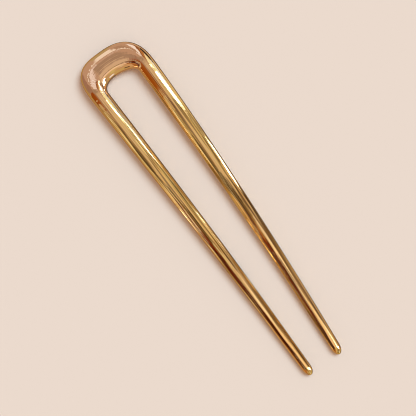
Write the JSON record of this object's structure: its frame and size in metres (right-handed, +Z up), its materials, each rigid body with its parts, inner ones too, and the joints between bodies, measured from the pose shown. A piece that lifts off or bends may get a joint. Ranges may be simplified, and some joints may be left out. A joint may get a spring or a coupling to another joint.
{
  "type": "french hair pin",
  "caption": "U-shaped metal hair pin with a broad domed bow and long prongs that taper to rounded tips.",
  "frame": {"origin": "on the resting plane, below the middle of the pin's outline as seen from above", "axes": "+Y along the pin from the tips to the bow, +Z up out of the flat back through the domed face, +X across the prongs"},
  "size_m": [0.0224, 0.115, 0.0046],
  "materials": {
    "gold_plate": "polished gold plating over cast brass, bright, with fine polishing lines along the prongs"
  },
  "bodies": {
    "root": {"hair_pin": "gold_plate"}
  },
  "joints": []
}
